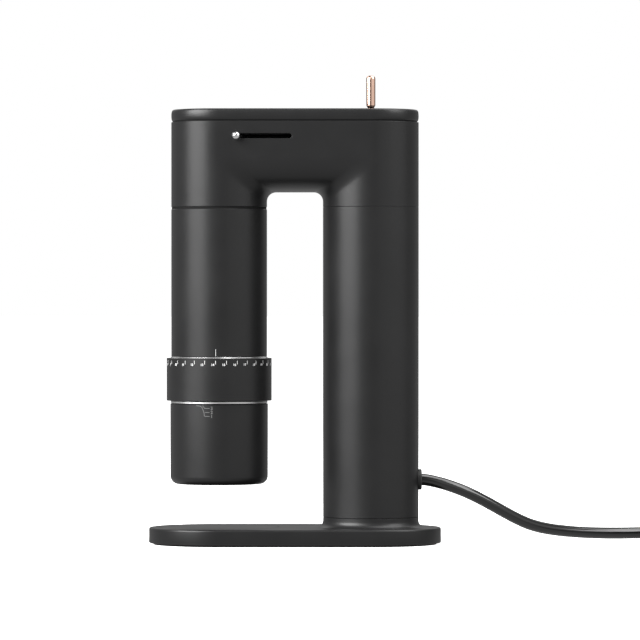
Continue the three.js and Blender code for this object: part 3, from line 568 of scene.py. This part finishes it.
def housing_skin(z0, z1):
    """The outer skin. At each depth y the arch's outline is an upright, a fillet and a level line; outside it
    are two half tubes and the flat front and back."""
    verts, faces = [], []
    half, level = 96, 16
    turns = [-math.pi / 2 + math.pi * i / half for i in range(half + 1)]
    rows = []
    for t in turns:
        c = max(math.cos(t), 0.0)
        y = TUBE_R * math.sin(t)
        wall_x = TOWER_X - TUBE_R * c
        across = min(abs(math.sin(t)), 1.0) ** BRIDGE_FULLNESS
        roof_z = BRIDGE_EDGE - BRIDGE_DROP * (1 - across) ** (1 / BRIDGE_FULLNESS)
        fillet = ARCH_FILLET + CREASE_FILLET * (1 - c) ** 2
        upright = [(wall_x, z0 + (roof_z - fillet - z0) * k / 6) for k in range(6)]
        side = upright + arc(wall_x - fillet, roof_z - fillet, fillet, 0, 90, 12)
        inner_x = wall_x - fillet
        roof = [(inner_x * (1 - 2 * k / level), roof_z) for k in range(1, level)]
        mirrored = [(-x, z) for x, z in reversed(side)]
        rows.append([(x, y, z) for x, z in side + roof + mirrored])
    add_grid(verts, faces, rows)
    crease = ARCH_FILLET + CREASE_FILLET
    levels = [z0 + (BRIDGE_EDGE - crease - z0) * k / 6 for k in range(7)] + [BRIDGE_EDGE, z1]
    inner_x = TOWER_X - crease
    xs = [TOWER_X] + [inner_x * (1 - 2 * k / level) for k in range(level + 1)] + [-TOWER_X]
    corner = arc(inner_x, BRIDGE_EDGE - crease, crease, 0, 90, 12)
    for sign in (1, -1):
        rows = []
        for t in turns:
            x, y = sign * (TOWER_X + TUBE_R * math.cos(t)), TUBE_R * math.sin(t)
            rows.append([(x, y, z) for z in levels])
        add_grid(verts, faces, rows)
        y = sign * TUBE_R
        add_grid(verts, faces, [[(x, y, z) for x in xs] for z in (BRIDGE_EDGE, z1)])
        for side in (1, -1):
            flat = [(side * x, y, z) for x, z in corner]
            add_grid(verts, faces, [flat, [(side * TOWER_X, y, BRIDGE_EDGE)] * len(flat)])
    return verts, faces


def slot_tool():
    """A round-ended cutter through the front wall."""
    front, back = -TUBE_R - 4, -TUBE_R + 6
    profile = [(0, front), (SLOT_HALF, front), (SLOT_HALF, back), (0, back)]
    tool = turned("slot_cut", profile, 0, (SLOT_X1 - SLOT_X0) / 2 - SLOT_HALF, 48)
    middle_x = (SLOT_X0 + SLOT_X1) / 2 * MM
    tool.data.transform(Matrix(((1, 0, 0, middle_x), (0, 0, 1, 0), (0, -1, 0, SLOT_Z * MM), (0, 0, 0, 1))))
    return tool


def housing():
    z0, z1 = heights("upper_housing")
    piece = mesh_object("upper_housing_fine", *housing_skin(z0, z1))
    shell = piece.modifiers.new("wall", "SOLIDIFY")
    shell.thickness = WALL * MM
    shell.offset = -1
    shell.use_even_offset = True
    apply_modifiers(piece)
    cut_with(piece, slot_tool())
    shade(piece)
    soften(piece, HOUSING_EDGE)
    dress(piece, "stand", "black", "upper_housing")


# The lid's rim from below: how far it is drawn in, and its share of the lid's height.
LID_EDGE = [
    (0.7, 0), (0.5, 0.03), (0.32, 0.08), (0.16, 0.16), (0.05, 0.27), (0, 0.4), (0.02, 0.56), (0.09, 0.7),
    (0.24, 0.81), (0.48, 0.9), (0.84, 0.96), (1.3, 0.99), (1.8, 1),
]


def cover():
    z0, z1 = LID_Z0, heights("top_cover")[1]
    rim = [(TUBE_R - inset, z0 + share * (z1 - z0)) for inset, share in LID_EDGE]
    piece = turned("top_cover_fine", [
        (0, LID_CEILING), (LID_COLLAR_R0, LID_CEILING), (LID_COLLAR_R0, LID_COLLAR_Z),
        (LID_COLLAR_R1, LID_COLLAR_Z), (LID_COLLAR_R1, z0 - LID_GAP),
        (TUBE_R - LIP, z0 - LID_GAP), (TUBE_R - LIP, z0), *rim, (0, z1),
    ], 0, TOWER_X)
    chute = turned("chute", [
        (CHUTE_R0, CHUTE_Z0), (CHUTE_R1, CHUTE_Z0), (CHUTE_R1, CHUTE_Z1), (CHUTE_R0, CHUTE_Z1),
    ], COLUMN_X, 0, 96)
    cut_with(piece, chute, operation="UNION")
    cut_with(piece, rod("inlet_cut", INLET_R, 240, ABOVE_LID, COLUMN_X, 0, 96))
    cut_with(piece, rod("lever_cut", LEVER_HOLE_R, 256, ABOVE_LID, TOWER_X))
    cut_with(piece, rod("bushing_cut", BUSHING_R, 256, BUSHING_Z, TOWER_X))
    shade(piece)
    soften(piece, LID_SOFT)
    dress(piece, "stand", "black", "top_cover")
    # The lid's lip and inner collar at its seam with the housing are painted near-black: painted shade in the
    # seam.
    refinish(piece, SHADOW_BLACK, z0 - 0.6, z0 + 0.001)


housing()
cover()


# ---------------------------------------------------------------- toggle and hatch knob
PIVOT_Z = 255.0
PIVOT_R = 2.2
NECK_R, NECK_TOP = 1.6, 261.0
NECK_ROUND = 0.15
SHOULDER_Z = 263.15
TIP_ROUND = 2.0
KNOB_R = 0.0025


def toggle():
    """A ball at the pivot, a thin neck, and a thick handle with a round tip."""
    tip = heights("toggle_lever")[1]
    r = radius_of("toggle_lever")
    lever = turned("toggle_lever_fine", [
        (0, PIVOT_Z - PIVOT_R), *arc(0, PIVOT_Z, PIVOT_R, -75, 43, 14), (NECK_R, NECK_TOP),
        *arc(NECK_R + NECK_ROUND, NECK_TOP + NECK_ROUND, NECK_ROUND, 180, 135, 2),
        (r - 0.12, SHOULDER_Z - 0.2), (r, SHOULDER_Z),
        *arc(r - TIP_ROUND, tip - TIP_ROUND, TIP_ROUND, 0, 90, 14), (0, tip),
    ], TOWER_X, 0, 96, closed=False)
    shade(lever)
    dress(lever, "toggle", "copper", "toggle_lever")


def knob():
    mesh = bpy.data.meshes.new("hatch_ball_fine")
    bm = bmesh.new()
    bmesh.ops.create_icosphere(bm, subdivisions=5, radius=KNOB_R)
    bm.to_mesh(mesh)
    bm.free()
    mesh.transform(Matrix.Translation(centre_of("hatch_ball")))
    mesh.shade_smooth()
    dress(new_object("hatch_ball_fine", mesh), "hatch", "polished_steel", "hatch_ball")


toggle()
knob()


# ---------------------------------------------------------------- column, dial and cup
INDEX_ANGLE = -2.8
DIAL_TOP = heights("dial_ring")[1]
DIAL_EDGE = DIAL_TOP - 0.8
DIAL_R = radius_of("dial_ring")
CUP_R = radius_of("catch_cup")
SPIGOT_R, SPIGOT_Z, SPIGOT_BORE_R = 27, 86.2, 24.6
GROOVE_R, GROOVE_H = 28.4, 1.2
NECK_PLUG_R0, NECK_PLUG_R1, NECK_PLUG_Z = 23.2, 25.7, 210.2
CHAMBER_R, CHAMBER_Z0, CHAMBER_Z1, CHAMBER_SHELF = 25, 116, 196.2, 198
WAY_Z0, WAY_Z1, WAY_HALF = 95.9, 102.6, 2.5
WAY_ANGLES = (90, 210, 330)
DIAL_BORE_R, LUG_GROOVE_R = 27.3, 29.4
COLLAR_R, COLLAR_FOOT_R, COLLAR_EDGE = 29.0, 29.2, 0.2
CUP_BORE_R, CUP_WIDE_R = 25, 26.5
CUP_LEDGE_Z0, CUP_LEDGE_Z1 = 78, 79.5
CUP_ROUND, CUP_INNER_ROUND = 5, 3.5
MAGNET_R, MAGNET_Z = 1.5, 80.8
SEAT_R0, SEAT_R1, SEAT_EDGE = 24.9, 29, 0.1


def block(x0, x1, y0, y1, z0, z1):
    verts = [(x * MM, y * MM, z * MM) for x in (x0, x1) for y in (y0, y1) for z in (z0, z1)]
    faces = [(0, 1, 3, 2), (4, 6, 7, 5), (0, 4, 5, 1), (2, 3, 7, 6), (0, 2, 6, 4), (1, 5, 7, 3)]
    return verts, faces


def column():
    """The spigot in the dial, the body, the groove below the housing, and the neck inside it."""
    z0, z1 = DIAL_TOP + 0.15, heights("upper_housing")[0] - 1.3
    groove_top = z1 + GROOVE_H
    piece = turned("column_body_fine", [
        (SPIGOT_BORE_R, SPIGOT_Z), (SPIGOT_R, SPIGOT_Z), (SPIGOT_R, z0), (TUBE_R - 0.2, z0),
        (TUBE_R, z0 + 0.2), (TUBE_R, z1 - 0.3), (TUBE_R - 0.3, z1), (GROOVE_R, z1), (GROOVE_R, groove_top),
        (NECK_PLUG_R1, groove_top), (NECK_PLUG_R1, NECK_PLUG_Z), (NECK_PLUG_R0, NECK_PLUG_Z),
        (NECK_PLUG_R0, CHAMBER_SHELF),
        (CHAMBER_R, CHAMBER_Z1), (CHAMBER_R, CHAMBER_Z0), (SPIGOT_BORE_R, CHAMBER_Z0 - 0.4),
    ], COLUMN_X)
    to_column = Matrix.Translation((COLUMN_X * MM, 0, 0))
    for degrees in WAY_ANGLES:
        tool = mesh_object("way_cut", *block(23, 28, -WAY_HALF, WAY_HALF, WAY_Z0, WAY_Z1))
        tool.data.transform(to_column @ Matrix.Rotation(math.radians(degrees), 4, "Z"))
        cut_with(piece, tool)
    shade(piece)
    dress(piece, "stand", "black", "column_body")
    # The groove below the housing is painted near-black: painted shade in the recess.
    refinish(piece, SHADOW_BLACK, z1 + 0.01, groove_top - 0.01)


def dial():
    """The black ring with a bare collar above it, and a groove inside for the carrier's lugs."""
    z0 = heights("dial_ring")[0]
    piece = turned("dial_ring_fine", [
        (DIAL_BORE_R, z0), (DIAL_R - 0.3, z0), (DIAL_R, z0 + 0.3), (DIAL_R, DIAL_EDGE - 0.15),
        (DIAL_R - 0.15, DIAL_EDGE), (COLLAR_FOOT_R, DIAL_EDGE), (COLLAR_R, DIAL_EDGE + COLLAR_EDGE),
        (COLLAR_R, DIAL_TOP - COLLAR_EDGE), (COLLAR_R - COLLAR_EDGE, DIAL_TOP), (DIAL_BORE_R, DIAL_TOP),
        (DIAL_BORE_R, WAY_Z1), (LUG_GROOVE_R, WAY_Z1), (LUG_GROOVE_R, WAY_Z0), (DIAL_BORE_R, WAY_Z0),
    ], COLUMN_X)
    shade(piece)
    dress(piece, "dial", "black", "dial_ring")
    refinish(piece, COLLAR_METAL, DIAL_EDGE + 0.02, DIAL_TOP + 1)


def cup():
    z0, z1 = heights("catch_cup")
    piece = turned("catch_cup_fine", [
        (0, z0), *arc(CUP_R - CUP_ROUND, z0 + CUP_ROUND, CUP_ROUND, -90, 0, 16), (CUP_R, z1 - 0.25),
        (CUP_R - 0.25, z1), (CUP_BORE_R, z1), (CUP_BORE_R, CUP_LEDGE_Z1), (CUP_WIDE_R, CUP_LEDGE_Z0),
        *arc(CUP_WIDE_R - CUP_INNER_ROUND, z0 + 6, CUP_INNER_ROUND, 0, -90, 8), (0, z0 + 2.5),
    ], COLUMN_X)
    for node in ("cup_magnet_1", "cup_magnet_2", "cup_magnet_3"):
        x, y, _ = centre_of(node)
        cut_with(piece, rod("magnet_cut", MAGNET_R, MAGNET_Z, z1 + 1, x / MM, y / MM, 32))
    shade(piece)
    dress(piece, "cup", "black", "catch_cup")


column()
dial()
cup()
seat_z0, seat_z1 = heights("cup_seat_ring")
seat = tube("cup_seat_ring_fine", "stand", "polished_steel", "cup_seat_ring",
            seat_z0, seat_z1, SEAT_R0, SEAT_R1, COLUMN_X, SEAT_EDGE)
seat.data.materials[0] = RING_METAL


# ---------------------------------------------------------------- printed marks
PRINT_DEPTHS = (-0.05, 0.02)
GLYPH_RESOLUTION = 4
GLYPH_T = 0.00003
GLYPH_SPREAD = 0.00004
GLYPH_SINK = 0.00001


def strokes(name, shapes, r, x, body):
    """Thin printed shapes wrapped round an upright tube: (angle in degrees, z, width, height), in mm."""
    verts, faces = [], []
    for angle, z, width, height in shapes:
        start = len(verts)
        for depth in PRINT_DEPTHS:
            for dx, dz in ((-1, -1), (1, -1), (1, 1), (-1, 1)):
                a = math.radians(angle) + dx * width / 2 / r
                verts.append(((x + (r + depth) * math.sin(a)) * MM, -(r + depth) * math.cos(a) * MM,
                              (z + dz * height / 2) * MM))
        for quad in ((0, 3, 2, 1), (4, 5, 6, 7), (0, 1, 5, 4), (1, 2, 6, 5), (2, 3, 7, 6), (3, 0, 4, 7)):
            faces.append(tuple(start + k for k in quad))
    piece = mesh_object(name, verts, faces)
    piece.data.materials.append(PRINT)
    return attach(piece, body)


def numerals(name, labels, size, r, x, body):
    """Digits wrapped round an upright tube. A label is (text, angle in degrees, z of its middle)."""
    meshes = []
    for text, angle, z in labels:
        curve = bpy.data.curves.new("label", "FONT")
        curve.body = text
        curve.size = size * MM
        curve.align_x = "CENTER"
        curve.align_y = "CENTER"
        curve.extrude = GLYPH_T
        curve.offset = GLYPH_SPREAD
        curve.resolution_u = GLYPH_RESOLUTION
        maker = new_object("label", curve)
        mesh = baked(maker)
        bpy.data.objects.remove(maker)
        for v in mesh.vertices:
            a = math.radians(angle) + v.co.x / (r * MM)
            out = r * MM + v.co.z - GLYPH_SINK
            v.co = (x * MM + out * math.sin(a), -out * math.cos(a), z * MM + v.co.y)
        meshes.append(mesh)
    bm = bmesh.new()
    for mesh in meshes:
        bm.from_mesh(mesh)
        bpy.data.meshes.remove(mesh)
    bmesh.ops.remove_doubles(bm, verts=bm.verts, dist=1e-7)
    whole = bpy.data.meshes.new(name)
    bm.to_mesh(whole)
    bm.free()
    piece = new_object(name, whole)
    piece.data.materials.append(PRINT)
    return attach(piece, body)


def ribbon(name, lines, width, r, x, body):
    """Thin printed lines wrapped round an upright tube, through points (distance round it, z), in mm."""
    verts, faces = [], []
    for corners in lines:
        line = [(p[0] + (q[0] - p[0]) * i / 8, p[1] + (q[1] - p[1]) * i / 8)
                for p, q in zip(corners, corners[1:]) for i in range(8)] + [corners[-1]]
        start = len(verts)
        for i, (u, z) in enumerate(line):
            before, after = line[max(i - 1, 0)], line[min(i + 1, len(line) - 1)]
            along = Vector((after[0] - before[0], after[1] - before[1])).normalized() * width / 2
            for depth in PRINT_DEPTHS:
                for side in (-1, 1):
                    a = (u - side * along.y) / r
                    verts.append(((x + (r + depth) * math.sin(a)) * MM, -(r + depth) * math.cos(a) * MM,
                                  (z + side * along.x) * MM))
        for i in range(len(line) - 1):
            a, b = start + 4 * i, start + 4 * i + 4
            for j, k in ((0, 1), (1, 3), (3, 2), (2, 0)):
                faces.append((a + j, a + k, b + k, b + j))
        end = start + 4 * (len(line) - 1)
        faces.append((start, start + 1, start + 3, start + 2))
        faces.append((end, end + 1, end + 3, end + 2))
    piece = mesh_object(name, verts, faces)
    piece.data.materials.append(FAINT_PRINT)
    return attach(piece, body)


LEVELS = [(82.0, "3"), (79.6, "2"), (77.2, "1")]
LEVEL_LINE = 0.3
LEVEL_DIGIT = 2.7
LEVEL_DIGIT_X = -3.9
DIAL_COUNT = 30
AT_INDEX = 14
TICK_Z, TICK_W, TICK_H = 109.3, 0.26, 2.2
DIGIT_Z, DIGIT_SIZE, DIGIT_TURN = 107.9, 1.9, -3.1
INDEX_Z, INDEX_W, INDEX_H, INDEX_TURN = 115.1, 0.22, 4.1, -0.2


def cup_graphic():
    """Fill levels in the front of the cup: three short lines with numbers, and a leader from the rim."""
    leader = [(-13.6, 83.6), (-12.0, 83.5), (-10.8, 83.3), (-10.0, 82.7), (-9.4, 81.6), (-8.9, 80.4),
              (-8.5, 79.2), (-8.5, 78.1), (-8.1, 77.3), (-5.2, 77.3)]
    branch = [(-9.4, 83.7), (-8.9, 83.0), (-8.4, 82.2), (-8.0, 82.0), (-5.2, 82.0)]
    ribbon("cup_levels", [leader, branch, [(-8.0, 79.6), (-5.2, 79.6)]], LEVEL_LINE, CUP_R, COLUMN_X, "cup")
    degrees = math.degrees(LEVEL_DIGIT_X / CUP_R)
    labels = [(text, degrees, z) for z, text in LEVELS]
    numbers = numerals("cup_numbers", labels, LEVEL_DIGIT, CUP_R, COLUMN_X, "cup")
    numbers.data.materials[0] = FAINT_PRINT


def marks():
    """Ticks and whole numbers round the dial, and the index line above it."""
    step = 360 / DIAL_COUNT
    angles = [(n - AT_INDEX) * step + INDEX_ANGLE for n in range(DIAL_COUNT)]
    strokes("dial_ticks", [(a, TICK_Z, TICK_W, TICK_H) for a in angles], DIAL_R, COLUMN_X, "dial")
    labels = [(str(n), a + DIGIT_TURN, DIGIT_Z) for n, a in enumerate(angles)]
    numerals("dial_numbers", labels, DIGIT_SIZE, DIAL_R, COLUMN_X, "dial")
    index = (INDEX_ANGLE + INDEX_TURN, INDEX_Z, INDEX_W, INDEX_H)
    strokes("index_line", [index], TUBE_R, COLUMN_X, "stand")
    cup_graphic()


marks()


# ---------------------------------------------------------------- cord's grommet
GROMMET_BORE_R, GROMMET_BODY_R, GROMMET_MOUTH_R = 3.9, 4.6, 4.4
GROMMET_X0, FLANGE_X0 = 69, 73.2
FLANGE_ROUND = 0.8
TUBE_CLEARANCE = 0.1


def grommet():
    """A turned profile laid along x, with its flange hollowed to sit on the tower."""
    low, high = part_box("cord_grommet")
    flange_r = (high[2] - low[2]) / 2 / MM
    face_x = high[0] / MM
    piece = turned("cord_grommet_fine", [
        (GROMMET_BORE_R, GROMMET_X0), (GROMMET_BODY_R, GROMMET_X0),
        (GROMMET_BODY_R, FLANGE_X0), (flange_r, FLANGE_X0),
        *arc(flange_r - FLANGE_ROUND, face_x - FLANGE_ROUND, FLANGE_ROUND, 0, 90, 6),
        (GROMMET_MOUTH_R, face_x), (GROMMET_BORE_R, face_x - 0.4),
    ], 0, 0, 96)
    middle_z = (low[2] + high[2]) / 2
    piece.data.transform(Matrix(((0, 0, 1, 0), (0, 1, 0, 0), (-1, 0, 0, middle_z), (0, 0, 0, 1))))
    cut_with(piece, rod("tube_cut", TUBE_R + TUBE_CLEARANCE, 20, 60, TOWER_X, 0, 192))
    shade(piece)
    dress(piece, "stand", "rubber", "cord_grommet")


grommet()


# ---------------------------------------------------------------- carried-over nodes
power_cord_piece.data.materials.append(LOOKS["cord_pvc"])
coil_tie_piece.data.materials.append(LOOKS["rubber"])
BLACKENED = ("hatch_plate",)
NODE_EDGE = 0.0002
SLOT_OF = {part["node"]: part["material_slot"] for part in frame["record"]["subparts"]}
for node_name, node in frame["nodes"].items():
    if node.hide_render:
        continue
    node.data.materials.clear()
    look = "black" if node_name in BLACKENED else SLOT_OF[node_name]
    node.data.materials.append(LOOKS[look])
    shade(node)
    soften(node, NODE_EDGE)


# ---------------------------------------------------------------- stage, lights and world
FLOOR_HALF = 30.0
WORLD_BELOW = 0.6
WORLD_ABOVE = 0.27


def floor():
    """Shadowless white sweep: it is seen, and lights nothing."""
    mesh = bpy.data.meshes.new("floor")
    corners = [(x * FLOOR_HALF, y * FLOOR_HALF, 0) for x, y in ((-1, -1), (1, -1), (1, 1), (-1, 1))]
    mesh.from_pydata(corners, [], [(0, 1, 2, 3)])
    piece = new_object("floor", mesh)
    look = bpy.data.materials.new("floor")
    look.use_nodes = True
    shader = look.node_tree.nodes["Principled BSDF"]
    shader.inputs["Base Color"].default_value = (0.9, 0.9, 0.9, 1)
    shader.inputs["Roughness"].default_value = 0.9
    shader.inputs["Emission Color"].default_value = (1, 1, 1, 1)
    shader.inputs["Emission Strength"].default_value = 1.0
    mesh.materials.append(look)
    piece.visible_diffuse = False
    piece.visible_glossy = False
    piece.visible_shadow = False


def softbox(name, place, target, width, height, power):
    """A rectangular lamp that faces the target."""
    data = bpy.data.lights.new(name, "AREA")
    data.shape = "RECTANGLE"
    data.size, data.size_y = width, height
    data.energy = power
    lamp = new_object(name, data)
    lamp.location = place
    lamp.rotation_euler = (Vector(target) - Vector(place)).to_track_quat("-Z", "Y").to_euler()


def world():
    """White to the camera. What lights the object is dimmer, and strongest from the white sweep below it."""
    made = bpy.data.worlds.new("studio")
    made.use_nodes = True
    nodes, links = made.node_tree.nodes, made.node_tree.links
    back = nodes["Background"]
    place = nodes.new("ShaderNodeTexCoord")
    axes = nodes.new("ShaderNodeSeparateXYZ")
    links.new(place.outputs["Generated"], axes.inputs["Vector"])
    fill = nodes.new("ShaderNodeMapRange")
    fill.inputs["From Min"].default_value = -0.5
    fill.inputs["From Max"].default_value = 0.05
    fill.inputs["To Min"].default_value = WORLD_BELOW
    fill.inputs["To Max"].default_value = WORLD_ABOVE
    links.new(axes.outputs["Z"], fill.inputs["Value"])
    path = nodes.new("ShaderNodeLightPath")
    power = nodes.new("ShaderNodeMapRange")
    power.inputs["To Max"].default_value = 1.0
    links.new(fill.outputs["Result"], power.inputs["To Min"])
    links.new(path.outputs["Is Camera Ray"], power.inputs["Value"])
    links.new(power.outputs["Result"], back.inputs["Strength"])
    back.inputs["Color"].default_value = (1, 1, 1, 1)
    bpy.context.scene.world = made


floor()
world()
softbox("left_box", (-1.42, -1.0, 1.05), (0, 0, 0.2), 1.6, 1.5, 112)
softbox("right_box", (1.36, -0.95, 0.6), (0, 0, 0.16), 2.6, 1.6, 7)
softbox("top_box", (0.75, -0.05, 1.75), (0, 0, 0), 1.4, 1.4, 28)
softbox("side_box", (1.21, -0.51, 0.92), (0.1, 0, 0.05), 0.8, 0.68, 9.5)
softbox("back_box", (0, 1.6, 1.0), (0, 0, 0), 2.4, 0.7, 4)
bpy.context.scene.view_settings.view_transform = "Standard"
